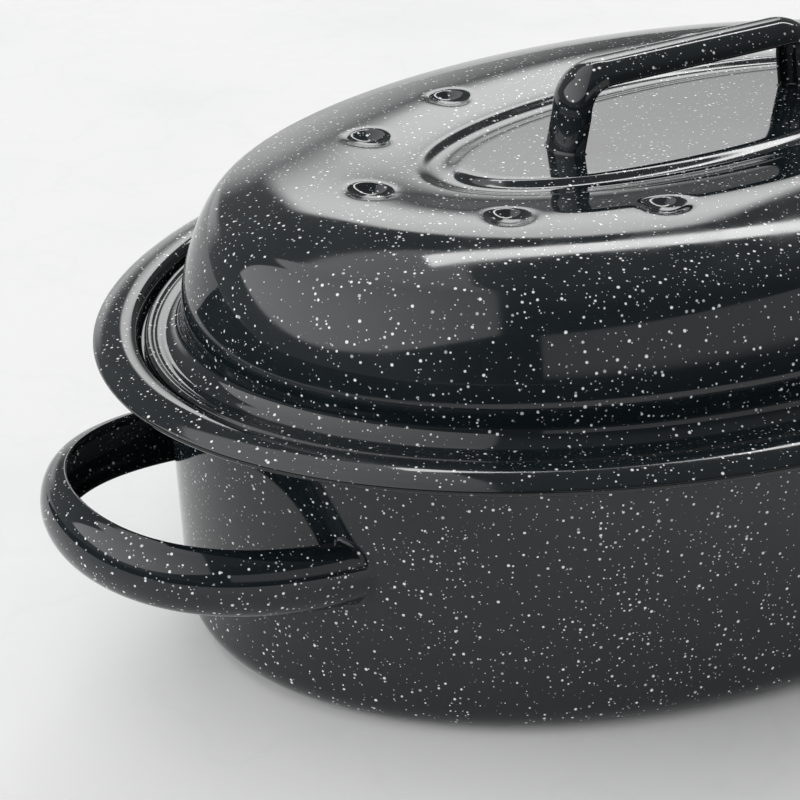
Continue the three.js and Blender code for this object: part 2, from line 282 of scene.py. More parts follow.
@dataclass
class Strap:
    """A pressed strap handle of crescent section, trimmed to the surface that it is welded to."""

    name: str
    path: Path3D
    half_width: float
    bulge: float
    inside: Callable[[np.ndarray], float]
    facing: Callable[[np.ndarray], np.ndarray]
    sheet: float = 1.5
    lip: float = 0.95
    rows: int = 150
    weld: float = 2.2

    def section(self) -> np.ndarray:
        """Outline of the crescent: outer face, rolled edge, hollow face, rolled edge."""
        face = np.radians(np.linspace(0, 180, 33))
        outer = [(self.half_width * math.cos(q), self.bulge * math.sin(q)) for q in face]
        reach, depth = self.half_width - self.sheet, self.bulge - self.sheet
        hollow = [(reach * math.cos(q), depth * math.sin(q)) for q in face[::-1]]
        middle = self.half_width - self.sheet / 2
        far = arc((-middle, 0), self.lip, 170, 370, 9)
        near = arc((middle, 0), self.lip, 170, 370, 9)
        return np.array(outer[1:-1] + far + hollow[1:-1] + near)

    def trimmed(self, across: float, outwards: float, sunk: float) -> tuple[float, float]:
        """Finds where one line of the strap meets the surface at both ends.

        Args:
            across: Place of the line over the width.
            outwards: Place of the line over the depth.
            sunk: How far below the surface the strap goes on.

        Returns:
            The shares along the path where it starts and ends.
        """
        ends = []
        for outer, middle in ((0.0, 0.5), (1.0, 0.5)):
            for _ in range(30):
                half = (outer + middle) / 2
                if self.inside(self.path.at(half, across, outwards)) < -sunk:
                    outer = half
                else:
                    middle = half
            ends.append((outer + middle) / 2)
        return ends[0], ends[1]

    def build(self) -> bpy.types.Object:
        """Makes the strap, its ends cut to the surface.

        Returns:
            The strap's object.
        """
        section = self.section()
        points = np.zeros((self.rows, len(section), 3))
        for j, (u, v) in enumerate(section):
            start, stop = self.trimmed(u, v, 0.3)
            for i, share in enumerate(np.linspace(start, stop, self.rows)):
                points[i, j] = self.path.at(share, u, v)
        columns = len(section)
        faces = grid_faces(self.rows, columns, False, True)
        faces.append(tuple(range(columns - 1, -1, -1)))
        faces.append(tuple((self.rows - 1) * columns + j for j in range(columns)))
        piece = new_piece(self.name, points.reshape(-1, 3) * MM, faces)
        at_edge = np.abs(section[:, 0]) > self.half_width - 2.4
        thin = np.clip(1 - np.abs(section[:, 1]) / 1.2, 0, 1) * at_edge
        mark(piece, "thin", np.tile(thin, self.rows))
        return piece

    def build_weld(self, name: str) -> bpy.types.Object:
        """Makes the enamelled weld fillets round both feet.

        Args:
            name: Name of the piece.

        Returns:
            One object that holds both fillets.
        """
        section = self.section()
        run = np.roll(section, -1, 0) - np.roll(section, 1, 0)
        normal = np.column_stack([run[:, 1], -run[:, 0]])
        normal /= np.linalg.norm(normal, axis=1, keepdims=True)
        places, faces = [], []
        rim = 8
        for foot in (0, 1):
            base = len(places)
            for (u, v), (nu, nv) in zip(section, normal):
                share = self.trimmed(u, v, 0.0)[foot]
                step = 0.004 if foot == 0 else -0.004
                contact = self.path.at(share, u, v)
                along = self.path.at(share + step, u, v) - contact
                along /= np.linalg.norm(along)
                away = self.path.at(share, u + nu, v + nv) - contact
                up = self.facing(contact)
                away -= up * float(away @ up)
                away /= np.linalg.norm(away)
                start = contact + along * self.weld - away * 0.12
                stop = contact + away * self.weld * 0.9 - up * 0.12
                heart = contact + (away + along) * 0.12
                for t in np.linspace(0, 1, rim - 1):
                    places.append((1 - t) ** 2 * start + 2 * t * (1 - t) * heart + t ** 2 * stop)
                places.append(contact - away * 0.5 - up * 0.4)
            ring = grid_faces(len(section), rim, True, True)
            faces.extend(tuple(base + i for i in f) for f in ring)
        piece = new_piece(name, np.array(places) * MM, faces)
        mark(piece, "thin", np.full(len(places), 0.35))
        return piece


@dataclass
class Wire:
    """A round wire along a line, with rounded ends."""

    name: str
    line: np.ndarray
    radius: float
    closed: bool = False
    sides: int = 18

    def build(self) -> bpy.types.Object:
        """Makes the wire.

        Returns:
            The wire's object.
        """
        line, radii = self.line, np.full(len(self.line), self.radius)
        if self.closed:
            run = np.roll(line, -1, 0) - np.roll(line, 1, 0)
        else:
            line, radii = self.rounded_ends()
            run = np.gradient(line, axis=0)
        run /= np.linalg.norm(run, axis=1, keepdims=True)
        across = np.cross(run[0], (0.0, 0.0, 1.0))
        if np.linalg.norm(across) < 0.1:
            across = np.cross(run[0], (0.0, 1.0, 0.0))
        points = np.zeros((len(line), self.sides, 3))
        turn = np.linspace(0, 2 * math.pi, self.sides, endpoint=False)
        for i, place in enumerate(line):
            across = across - run[i] * float(across @ run[i])
            across /= np.linalg.norm(across)
            up = np.cross(across, run[i])
            ring = np.outer(np.cos(turn), across) + np.outer(np.sin(turn), up)
            points[i] = place + ring * radii[i]
        faces = grid_faces(len(line), self.sides, self.closed, True)
        if not self.closed:
            faces.append(tuple(range(self.sides)))
            faces.append(tuple((len(line) - 1) * self.sides + j for j in range(self.sides)))
        return new_piece(self.name, points.reshape(-1, 3) * MM, faces)

    def rounded_ends(self) -> tuple[np.ndarray, np.ndarray]:
        """Adds short narrowing steps at both ends of the line.

        Returns:
            The longer line and its radii.
        """
        first = self.line[0] - self.line[1]
        last = self.line[-1] - self.line[-2]
        first, last = first / np.linalg.norm(first), last / np.linalg.norm(last)
        turn = np.radians((20, 40, 60, 78))
        reach = 0.45 * self.radius
        head = [self.line[0] + first * reach * (math.sin(q) - 1) for q in turn[::-1]]
        tail = [self.line[-1] + last * reach * (math.sin(q) - 1) for q in turn]
        inner = self.line[1:-1]
        narrow = [self.radius * (0.35 + 0.65 * math.cos(q)) for q in turn]
        start = self.line[0] - first * reach
        stop = self.line[-1] - last * reach
        line = np.vstack([head, start, inner, stop, tail])
        radii = np.array(narrow[::-1] + [self.radius] * (len(inner) + 2) + narrow)
        return line, radii


def bent(corners: Sequence[Sequence[float]], radius: float) -> np.ndarray:
    """A line through corners, each rounded, cut into short steps.

    Args:
        corners: Corner points in millimetres.
        radius: Distance from each corner where its bend starts.

    Returns:
        Points of the line.
    """
    corner = [np.array(c, float) for c in corners]
    points = [corner[0]]
    for before, here, after in zip(corner, corner[1:], corner[2:]):
        enter = here + (before - here) * radius / np.linalg.norm(before - here)
        leave = here + (after - here) * radius / np.linalg.norm(after - here)
        points.extend(np.linspace(points[-1], enter, 10)[1:])
        for t in np.linspace(0, 1, 12)[1:]:
            points.append((1 - t) ** 2 * enter + 2 * t * (1 - t) * here + t ** 2 * leave)
    points.extend(np.linspace(points[-1], corner[-1], 10)[1:])
    return np.array(points)


# ---- finishes ----
class Net:
    """Places nodes in a node tree and joins them."""

    def __init__(self, tree: bpy.types.NodeTree) -> None:
        """Keeps the tree that the nodes go into."""
        self.tree = tree

    def node(self, kind: str, **settings: object) -> bpy.types.Node:
        """Adds a node of a kind and sets its properties."""
        made = self.tree.nodes.new(kind)
        for name, value in settings.items():
            setattr(made, name, value)
        return made

    def join(self, source: object, target: object) -> None:
        """Joins a socket to an input, or sets the input where the source is a plain value."""
        if isinstance(source, bpy.types.NodeSocket):
            self.tree.links.new(source, target)
        else:
            target.default_value = source

    def math(self, operation: str, a: object, b: object = 0.0, clamp: bool = False) -> object:
        """Adds a Math node and returns its result."""
        made = self.node("ShaderNodeMath", operation=operation, use_clamp=clamp)
        self.join(a, made.inputs[0])
        self.join(b, made.inputs[1])
        return made.outputs[0]

    def ramp(self, value: object, low: object, high: object, to_low: float = 0.0,
             to_high: float = 1.0) -> object:
        """Maps a value smoothly from one range to another.

        Args:
            value: Socket or number to map.
            low: Where the input range starts.
            high: Where it ends.
            to_low: Result at the start.
            to_high: Result at the end.

        Returns:
            The result socket.
        """
        made = self.node("ShaderNodeMapRange", interpolation_type="SMOOTHSTEP")
        for key, item in zip(("Value", "From Min", "From Max", "To Min", "To Max"),
                             (value, low, high, to_low, to_high)):
            self.join(item, made.inputs[key])
        return made.outputs["Result"]

    def noise(self, vector: object, scale: float, detail: float = 2.0) -> object:
        """Adds a 3-D noise and returns its value."""
        made = self.node("ShaderNodeTexNoise", noise_dimensions="3D")
        self.join(vector, made.inputs["Vector"])
        made.inputs["Scale"].default_value = scale
        made.inputs["Detail"].default_value = detail
        return made.outputs["Fac"]

    def blend(self, share: object, first: object, second: object) -> object:
        """Mixes two colours by a share and returns the result."""
        made = self.node("ShaderNodeMix", data_type="RGBA")
        self.join(share, made.inputs["Factor"])
        self.join(first, made.inputs["A"])
        self.join(second, made.inputs["B"])
        return made.outputs["Result"]

    def place(self, group: bpy.types.NodeTree, **values: object) -> bpy.types.Node:
        """Places a node group and sets or joins its inputs, named with spaces as underscores."""
        made = self.node("ShaderNodeGroup", node_tree=group)
        for name, value in values.items():
            self.join(value, made.inputs[name.replace("_", " ")])
        return made


def new_group(name: str, inputs: dict[str, float | str],
              outputs: Sequence[str]) -> tuple[Net, dict, dict]:
    """Starts a shader node group with named sockets.

    Args:
        name: Name of the group.
        inputs: Each input with its usual value, or "vector".
        outputs: Names of the outputs, all plain values.

    Returns:
        The net for its nodes, its input sockets and its output sockets by name.
    """
    tree = bpy.data.node_groups.new(name, "ShaderNodeTree")
    for key, value in inputs.items():
        kind = "NodeSocketVector" if value == "vector" else "NodeSocketFloat"
        socket = tree.interface.new_socket(key, in_out="INPUT", socket_type=kind)
        if value != "vector":
            socket.default_value = value
    for key in outputs:
        tree.interface.new_socket(key, in_out="OUTPUT", socket_type="NodeSocketFloat")
    net = Net(tree)
    source, sink = net.node("NodeGroupInput"), net.node("NodeGroupOutput")
    return net, {k: source.outputs[k] for k in inputs}, {k: sink.inputs[k] for k in outputs}


def speckle_group() -> bpy.types.NodeTree:
    """Builds the spatter of fired-in dots: round, of mixed size, denser in some places.

    Returns:
        The node group, with outputs Mask and Tone.
    """
    inputs = {"Vector": "vector", "Cells": 400.0, "Smallest": 0.1, "Largest": 0.6, "Share": 0.8,
              "Rarity": 3.0}
    net, into, out = new_group("fired_speckle", inputs, ("Mask", "Tone"))
    wander = net.node("ShaderNodeTexNoise", noise_dimensions="3D")
    net.join(into["Vector"], wander.inputs["Vector"])
    wander.inputs["Scale"].default_value = 1500.0
    centred = net.node("ShaderNodeVectorMath", operation="SUBTRACT")
    net.join(wander.outputs["Color"], centred.inputs[0])
    centred.inputs[1].default_value = (0.5, 0.5, 0.5)
    small = net.node("ShaderNodeVectorMath", operation="SCALE")
    net.join(centred.outputs[0], small.inputs[0])
    small.inputs["Scale"].default_value = 0.00022
    place = net.node("ShaderNodeVectorMath", operation="ADD")
    net.join(into["Vector"], place.inputs[0])
    net.join(small.outputs[0], place.inputs[1])
    cells = net.node("ShaderNodeTexVoronoi", voronoi_dimensions="3D", feature="F1")
    net.join(place.outputs[0], cells.inputs["Vector"])
    net.join(into["Cells"], cells.inputs["Scale"])
    rand = net.node("ShaderNodeSeparateColor")
    net.join(cells.outputs["Color"], rand.inputs[0])
    spread = net.math("SUBTRACT", into["Largest"], into["Smallest"])
    grown = net.math("MULTIPLY", net.math("POWER", rand.outputs[0], into["Rarity"]), spread)
    radius = net.math("MULTIPLY", net.math("ADD", grown, into["Smallest"]), into["Cells"])
    radius = net.math("MULTIPLY", radius, MM)
    inner, outer = net.math("MULTIPLY", radius, 0.72), net.math("MULTIPLY", radius, 1.12)
    dot = net.ramp(cells.outputs["Distance"], inner, outer, 1.0, 0.0)
    cloud = net.ramp(net.noise(into["Vector"], 38.0, 3.0), 0.3, 0.7, 0.55, 1.25)
    chance = net.math("MULTIPLY", into["Share"], cloud)
    kept = net.math("LESS_THAN", rand.outputs[1], chance)
    net.join(net.math("MULTIPLY", dot, kept), out["Mask"])
    net.join(rand.outputs[2], out["Tone"])
    return net.tree


def skin_group() -> bpy.types.NodeTree:
    """Builds the skin of fired glass: a slow waviness, fine orange peel and clouded gloss.

    Returns:
        The node group, with outputs Height and Gloss.
    """
    net, into, out = new_group("glass_skin", {"Vector": "vector", "Peel": 1.0, "Wave": 1.0},
                               ("Height", "Gloss"))
    wave = net.math("MULTIPLY", net.noise(into["Vector"], 22.0, 1.0), into["Wave"])
    peel = net.math("MULTIPLY", net.noise(into["Vector"], 240.0, 2.0), into["Peel"])
    net.join(net.math("ADD", net.math("MULTIPLY", wave, 0.9), net.math("MULTIPLY", peel, 0.03)),
             out["Height"])
    net.join(net.ramp(net.noise(into["Vector"], 55.0, 4.0), 0.3, 0.7), out["Gloss"])
    return net.tree


@dataclass(frozen=True)
class Spatter:
    """One layer of fired-in dots: cells per metre and the dots' radii in millimetres."""

    cells: float
    smallest: float
    largest: float
    share: float
    rarity: float

    def place(self, net: Net, group: bpy.types.NodeTree, vector: object) -> bpy.types.Node:
        """Places the speckle group with this layer's values."""
        return net.place(group, Vector=vector, Cells=self.cells, Smallest=self.smallest,
                         Largest=self.largest, Share=self.share, Rarity=self.rarity)


@dataclass(frozen=True)
class EnamelFinish:
    """Black-slate porcelain enamel with white fired-in speckles."""

    name: str = "speckled_enamel"
    glass: Colour = (0.0085, 0.0128, 0.0145, 1)
    deep: Colour = (0.0062, 0.0098, 0.0118, 1)
    dot: Colour = (0.80, 0.82, 0.82, 1)
    dull_dot: Colour = (0.36, 0.40, 0.41, 1)
    burnt: Colour = (0.004, 0.005, 0.005, 1)
    bold: Spatter = Spatter(455.0, 0.21, 0.62, 0.95, 1.8)
    fine: Spatter = Spatter(640.0, 0.10, 0.34, 0.95 * 0.7, 1.6)
    fine_strength: float = 0.75
    roughness: tuple[float, float] = (0.045, 0.085)

    def build(self, speckle: bpy.types.NodeTree, skin: bpy.types.NodeTree) -> bpy.types.Material:
        """Makes the material.

        Args:
            speckle: The speckle group.
            skin: The glass skin group.

        Returns:
            The finished material.
        """
        made = bpy.data.materials.new(self.name)
        made.use_nodes = True
        net = Net(made.node_tree)
        shader = made.node_tree.nodes["Principled BSDF"]
        place = net.node("ShaderNodeTexCoord").outputs["Object"]
        thin = net.node("ShaderNodeAttribute", attribute_name="thin").outputs["Fac"]
        shift = net.node("ShaderNodeVectorMath", operation="ADD")
        net.join(place, shift.inputs[0])
        shift.inputs[1].default_value = (3.17, 1.91, 2.43)
        bold = self.bold.place(net, speckle, place)
        fine = self.fine.place(net, speckle, shift.outputs[0])
        glaze = net.place(skin, Vector=place)
        body = net.blend(glaze.outputs["Gloss"], self.deep, self.glass)
        body = net.blend(net.math("MULTIPLY", thin, 0.6), body, self.burnt)
        tone = net.ramp(bold.outputs["Tone"], 0.0, 0.55)
        white = net.blend(tone, self.dull_dot, self.dot)
        keep = net.ramp(thin, 0.3, 1.0, 1.0, 0.35)
        faint = net.math("MULTIPLY", fine.outputs["Mask"], self.fine_strength)
        spots = net.math("MAXIMUM", bold.outputs["Mask"], faint)
        spots = net.math("MULTIPLY", spots, keep, clamp=True)
        net.join(net.blend(spots, body, white), shader.inputs["Base Color"])
        low, high = self.roughness
        net.join(net.ramp(glaze.outputs["Gloss"], 0.0, 1.0, low, high), shader.inputs["Roughness"])
        raised = net.math("ADD", glaze.outputs["Height"], net.math("MULTIPLY", spots, 0.012))
        bump = net.node("ShaderNodeBump")
        bump.inputs["Strength"].default_value = 1.0
        bump.inputs["Distance"].default_value = 0.00011
        net.join(raised, bump.inputs["Height"])
        net.join(bump.outputs["Normal"], shader.inputs["Normal"])
        shader.inputs["IOR"].default_value = 1.52
        return made


@dataclass(frozen=True)
class PlatedWireFinish:
    """Bright nickel-plated steel wire, a little duller and browner in patches."""

    name: str = "plated_wire"
    bright: Colour = (0.62, 0.62, 0.61, 1)
    dull: Colour = (0.40, 0.385, 0.36, 1)

    def build(self, skin: bpy.types.NodeTree) -> bpy.types.Material:
        """Makes the material.

        Args:
            skin: The skin group, used for its patches and fine unevenness.

        Returns:
            The finished material.
        """
        made = bpy.data.materials.new(self.name)
        made.use_nodes = True
        net = Net(made.node_tree)
        shader = made.node_tree.nodes["Principled BSDF"]
        place = net.node("ShaderNodeTexCoord").outputs["Object"]
        drawn = net.place(skin, Vector=place, Peel=6.0, Wave=0.3)
        grain = net.noise(place, 900.0, 3.0)
        net.join(net.blend(net.ramp(drawn.outputs["Gloss"], 0.1, 0.9), self.dull, self.bright),
                 shader.inputs["Base Color"])
        net.join(net.ramp(grain, 0.3, 0.7, 0.17, 0.34), shader.inputs["Roughness"])
        bump = net.node("ShaderNodeBump")
        bump.inputs["Strength"].default_value = 0.6
        bump.inputs["Distance"].default_value = 0.00008
        net.join(drawn.outputs["Height"], bump.inputs["Height"])
        net.join(bump.outputs["Normal"], shader.inputs["Normal"])
        shader.inputs["Metallic"].default_value = 1.0
        return made


@dataclass(frozen=True)
class TableFinish:
    """Pale honed stone with faint clouds and a few soft veins."""

    name: str = "pale_stone"
    light: Colour = (0.91, 0.91, 0.91, 1)
    grey: Colour = (0.83, 0.835, 0.84, 1)

    def build(self) -> bpy.types.Material:
        """Makes the material.

        Returns:
            The finished material.
        """
        made = bpy.data.materials.new(self.name)
        made.use_nodes = True
        net = Net(made.node_tree)
        shader = made.node_tree.nodes["Principled BSDF"]
        place = net.node("ShaderNodeTexCoord").outputs["Object"]
        cloud = net.ramp(net.noise(place, 5.0, 5.0), 0.42, 0.72)
        vein = net.noise(place, 9.0, 8.0)
        line = net.math("ABSOLUTE", net.math("SUBTRACT", vein, 0.5))
        line = net.ramp(line, 0.0, 0.02, 0.16, 0.0)
        share = net.math("ADD", net.math("MULTIPLY", cloud, 0.5), line, clamp=True)
        net.join(net.blend(share, self.light, self.grey), shader.inputs["Base Color"])
        shader.inputs["Roughness"].default_value = 0.9
        shader.inputs["Specular IOR Level"].default_value = 0.0
        return made


# ---- sub-assemblies ----
@dataclass
class Workshop:
    """The finishes, made once, and the way a piece is finished and handed over."""

    enamel: bpy.types.Material = field(init=False)
    wire: bpy.types.Material = field(init=False)

    def __post_init__(self) -> None:
        """Builds the shared node groups and both finishes."""
        speckle, skin = speckle_group(), skin_group()
        self.enamel = EnamelFinish().build(speckle, skin)
        self.wire = PlatedWireFinish().build(skin)

    def hand_over(self, piece: bpy.types.Object, body: Body, slot: Slot, *nodes: str) -> None:
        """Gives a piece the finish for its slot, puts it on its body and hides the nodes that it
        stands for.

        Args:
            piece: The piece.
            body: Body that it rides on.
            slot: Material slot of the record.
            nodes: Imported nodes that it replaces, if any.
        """
        piece.data.materials.clear()
        piece.data.materials.append(self.enamel if slot is Slot.ENAMEL else self.wire)
        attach(piece, body.value)
        if nodes:
            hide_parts(*nodes)
        LOG.info("%s rides on %s, %d faces", piece.name, body.value, len(piece.data.polygons))


@dataclass
class Oval:
    """The plan of the roaster in millimetres: rim size and how slim each ring is."""

    half_length: float = 237.0
    half_width: float = 165.0
    groove_length: float = 117.0
    groove_width: float = 52.0
    groove_across: float = 18.0
    dome_edge: float = 146.7

    def inset(self, distance: float) -> float:
        """Half length of the ring that lies a distance inside the rim."""
        return self.half_length - distance

    def width_at(self, a: float) -> float:
        """Half width of the ring whose half length is a."""
        inner_length = self.groove_length - self.groove_across
        inner_width = self.groove_width - self.groove_across
        edge_width = self.dome_edge - self.half_length + self.half_width
        return float(np.interp(a, (0, inner_length, self.groove_length, self.dome_edge, 400),
                               (0, inner_width, self.groove_width, edge_width,
                                400 - self.half_length + self.half_width)))


@dataclass
class Pan:
    """The oval pan with its flange, rolled lip and two loop handles. Sizes in millimetres."""

    oval: Oval
    sheet: float = 1.2
    crest: float = 118.4
    ledge: float = 111.4
    wall_top: float = 25.0
    wall_base: float = 27.9
    base_radius: float = 14.5
    lip_radius: float = 1.7
    pivot: Point = (200.0, 65.2)
    tilt: float = 6.8
    loop: tuple[Point, ...] = ((258, 0), (258, 22), (247, 61), (180, 60.5))
    strap_half_width: float = 11.9
    strap_bulge: float = 8.0

    def upper_face(self) -> Outline:
        """Outline of the pan's upper and inner face, from under the lip to the floor's middle."""
        inset = self.oval.inset
        lip = arc((inset(self.lip_radius), self.crest - 4.1), self.lip_radius, -215, 35, 16)
        over = [(4, -1.2), (8.5, -0.2), (12.3, 0), (14.6, -0.9), (15.9, -2.9), (16.35, -5.2)]
        crest = flowing([lip[-1]] + [(inset(d), self.crest + dz) for d, dz in over], 5)
        seat = arc((inset(17.55), self.ledge + 1.15), 1.15, 0, -90, 5)
        turn = arc((inset(self.wall_top - 0.9), self.ledge - 2.2), 2.2, 90, 180, 6)
        wall_in = self.wall_base + self.sheet
        corner = inset(self.wall_base) - self.base_radius
        wall = [(inset(wall_in - t * (wall_in - self.wall_top - 1.3)), 14.5 + t * 91)
                for t in np.linspace(1, 0, 12)]
        base = arc((corner, self.base_radius), self.base_radius - self.sheet, 0, -90, 12)
        floor = [(corner * t, self.sheet) for t in np.linspace(1, 0, 12)[1:]]
        return lip + crest[1:] + seat + turn + wall + base[1:] + floor

    def wall_inset(self, z: float) -> float:
        """Inset of the pan's outer wall at a height."""
        return float(np.interp(z, (14.5, 106.4), (self.wall_base, self.wall_top)))

    def outside(self, place: np.ndarray) -> float:
        """Rough distance of a point outside the pan's wall, below zero within it."""
        a = self.oval.inset(self.wall_inset(place[2]))
        b = self.oval.width_at(a)
        ratio = math.hypot(place[0] / a, place[1] / b)
        return (ratio - 1) * math.hypot(place[0], place[1]) / max(ratio, 1e-6)

    def wall_facing(self, place: np.ndarray) -> np.ndarray:
        """Direction that the pan's wall faces at a point on it."""
        a = self.oval.inset(self.wall_inset(place[2]))
        b = self.oval.width_at(a)
        lean = (self.wall_base - self.wall_top) / 91.9
        flat = np.array([place[0] / a ** 2, place[1] / b ** 2])
        flat /= np.linalg.norm(flat)
        facing = np.array([flat[0], flat[1], -lean])
        return facing / np.linalg.norm(facing)

    def build_body(self) -> bpy.types.Object:
        """Makes the pan's sheet body.

        Returns:
            The pan's object.
        """
        upper = self.upper_face()
        lower = shifted(upper, self.sheet)[::-1]
        lower = [(a, max(z, 0.0)) for a, z in lower]
        lower[0] = (0.0, 0.0)
        body = OvalBody("pan_enamelled_body", upper + lower, self.oval.width_at)
        points, faces, rows = body.rings()
        piece = new_piece(body.name, points * MM, faces)
        edge = np.array([1.0 if i < 17 or i >= 2 * len(upper) - 17 else 0.0
                         for i in range(2 * len(upper))])
        mark(piece, "thin", edge[rows])
        return piece

    def loop_path(self, end: End) -> Path3D:
        """Line of a loop handle's inner face.

        Args:
            end: Which end of the pan it is on.

        Returns:
            The line, tilted up towards its tip.
        """
        tip, turn, bend, foot = (np.array(p, float) for p in self.loop)
        half = [(1 - t) ** 3 * tip + 3 * t * (1 - t) ** 2 * turn + 3 * t ** 2 * (1 - t) * bend
                + t ** 3 * foot for t in np.linspace(0, 1, 160)]
        flat = [(x, -y) for x, y in half[:0:-1]] + [tuple(p) for p in half]
        tilt = math.radians(self.tilt)
        sign = end.value
        points = [(sign * (self.pivot[0] + (x - self.pivot[0]) * math.cos(tilt)), y,
                   self.pivot[1] + (x - self.pivot[0]) * math.sin(tilt)) for x, y in flat]
        across = Vector((-sign * math.sin(tilt), 0, math.cos(tilt))) * sign
        return Path3D(np.array(points), across)

    def make(self, shop: Workshop) -> None:
        """Builds and dresses the pan, its loops and their welds.

        Args:
            shop: Gives the finishes.
        """
        shop.hand_over(self.build_body(), Body.PAN, Slot.ENAMEL, "pan_body")
        for end in End:
            side = end.name.lower()
            strap = Strap(f"pan_loop_{side}", self.loop_path(end), self.strap_half_width,
                          self.strap_bulge, self.outside, self.wall_facing)
            shop.hand_over(strap.build(), Body.PAN, Slot.ENAMEL, f"pan_handle_{side}")
            shop.hand_over(strap.build_weld(f"pan_loop_weld_{side}"), Body.PAN, Slot.ENAMEL)


@dataclass
class Lid:
    """The domed lid with its bead, groove, dimples and strap handle. Sizes in millimetres."""

    oval: Oval
    sheet: float = 1.2
    bead_inset: float = 20.1
    bead_radius: float = 1.8
    bead_height: float = 113.6
    fillet: float = 7.0
    dome_inset: float = 25.3
    dome_foot: float = 60.8
    shoulder: Point = (23.3, 93.3)
    crown: Point = (65.0, 16.2)
    crown_power: float = 1.72
    tuck: float = 1.9
    plateau: float = 168.0
    edge_rise: float = 2.3
    groove_depth: float = 1.8
    dimple_radius: float = 8.6
    dimple_depth: float = 3.2
    lip_sharpness: float = 5.0
    dimple_reach: float = 2.2
    dimple_floor: float = 155.0
    ring_pitch: float = 1.0
    dimples: tuple[Point, ...] = ((139.3, 0), (113.2, 45), (63.3, 66))
    grip_foot: float = 55.6
    splay: float = 2.9
    grip_height: float = 192.4
    grip_bend: float = 11.0
    grip_weld: float = 1.2
    strap_half_width: float = 9.5
    strap_bulge: float = 7.0

    def dome_at(self, inward: float, side_rise: float) -> Point:
        """Point of the dome at a distance in from its foot."""
        reach, rise = self.crown
        top = rise * (1 - (1 - inward / reach) ** self.crown_power)
        return self.oval.inset(self.dome_inset + inward), self.dome_foot + side_rise + top

    def top_face(self) -> Outline:
        """Outline of the lid's upper face, from under its bead to the middle."""
        inset = self.oval.inset
        reach, rise = self.shoulder
        bead = arc((inset(self.bead_inset), self.bead_height), self.bead_radius, -140, 150, 18)
        start = math.asin((120 - self.dome_foot) / (rise + 1.5))
        wall = []
        for angle in np.linspace(start, math.pi / 2, 46):
            wall.append(self.dome_at(reach * (1 - math.cos(angle)), rise * math.sin(angle)))
        for inward in np.linspace(reach, self.crown[0], 30)[1:]:
            wall.append(self.dome_at(inward, rise))
        wall = [(a - self.tuck * max(0.0, 1 - (z - wall[0][1]) / 16) ** 2, z) for a, z in wall]
        lean = math.degrees(math.atan2(wall[0][0] - wall[1][0], wall[1][1] - wall[0][1]))
        turn = math.radians(180 - lean)
        foot_a, foot_z = wall[0]
        centre = (foot_a - self.fillet * math.cos(turn),
                  foot_z - self.fillet * math.sin(turn))
        trough = arc(centre, self.fillet, 268, 180 - lean, 12)
        between = ((bead[-1][0] + trough[0][0]) / 2, trough[0][1] + 0.35)
        flange = flowing([bead[-1], between, trough[0]], 3)
        outer, edge = self.oval.groove_length, self.oval.dome_edge
        inner = outer - self.oval.groove_across
        flat = np.concatenate([np.arange(edge - self.ring_pitch, outer, -self.ring_pitch),
                               np.linspace(outer, inner, 27), np.linspace(inner, 0, 26)[1:]])
        middle = [(a, self.plateau + self.rise_at(a)) for a in flat]
        return bead + flange[1:-1] + trough + wall[1:] + middle

    def rise_at(self, a: float) -> float:
        """Height of the flat top over the plateau at half length a: the groove and its verge."""
        outer, across = self.oval.groove_length, self.oval.groove_across
        share = (outer - a) / across
        if 0 < share < 1:
            return -self.groove_depth * math.sin(math.pi * share) ** 1.5
        verge = min(max((a - outer) / (self.oval.dome_edge - outer), 0), 1)
        return self.edge_rise * (3 * verge ** 2 - 2 * verge ** 3)

    def pressed(self, points: np.ndarray) -> np.ndarray:
        """Presses the dimples into the top of the lid.

        Args:
            points: Vertices in millimetres.

        Returns:
            The vertices with the dimples.
        """
        moved = points.copy()
        high = moved[:, 2] > self.dimple_floor
        for x, y in self.dimples:
            for sx in (-1, 1):
                for sy in ((1,) if y == 0 else (-1, 1)):
                    away = np.hypot(moved[:, 0] - sx * x, moved[:, 1] - sy * y) / self.dimple_radius
                    near = high & (away < self.dimple_reach)
                    t = away[near]
                    bowl = np.log1p(np.exp(self.lip_sharpness * (1 - t ** 2))) / self.lip_sharpness
                    moved[near, 2] -= self.dimple_depth * bowl
        return moved

    def build_shell(self) -> bpy.types.Object:
        """Makes the lid's sheet body.

        Returns:
            The lid's object.
        """
        top = self.top_face()
        under = shifted(top, self.sheet)
        under[-1] = (0.0, under[-1][1])
        thinned = [p for i, p in enumerate(under) if i < 24 or i % 2 == (len(under) - 1) % 2]
        body = OvalBody("lid_enamelled_shell", top + thinned[::-1], self.oval.width_at)
        points, faces, rows = body.rings()
        piece = new_piece(body.name, self.pressed(points) * MM, faces)
        count = len(body.outline)
        edge = np.array([1.0 if i < 14 or i > count - 14 else 0.0 for i in range(count)])
        mark(piece, "thin", edge[rows])
        return piece

    def grip_path(self) -> Path3D:
        """Line of the lid handle's inner face, foot to foot."""
        bend_x = self.grip_foot - self.splay
        straight = bend_x - self.grip_bend
        right = [(self.grip_foot, 0, self.plateau - 2),
                 (bend_x, 0, self.grip_height - self.grip_bend),
                 (bend_x, 0, self.grip_height), (straight, 0, self.grip_height)]
        foot, low, corner, grip = (np.array(p, float) for p in right)
        leg = list(np.linspace(foot, low, 60))
        turn = [(1 - t) ** 2 * low + 2 * t * (1 - t) * corner + t ** 2 * grip
                for t in np.linspace(0, 1, 90)[1:]]
        half = np.array(leg + turn)
        mirror = half[::-1] * np.array([-1, 1, 1])
        across = np.linspace(half[-1], mirror[0], 160)[1:-1]
        return Path3D(np.vstack([half, across, mirror]), Vector((0, -1, 0)))

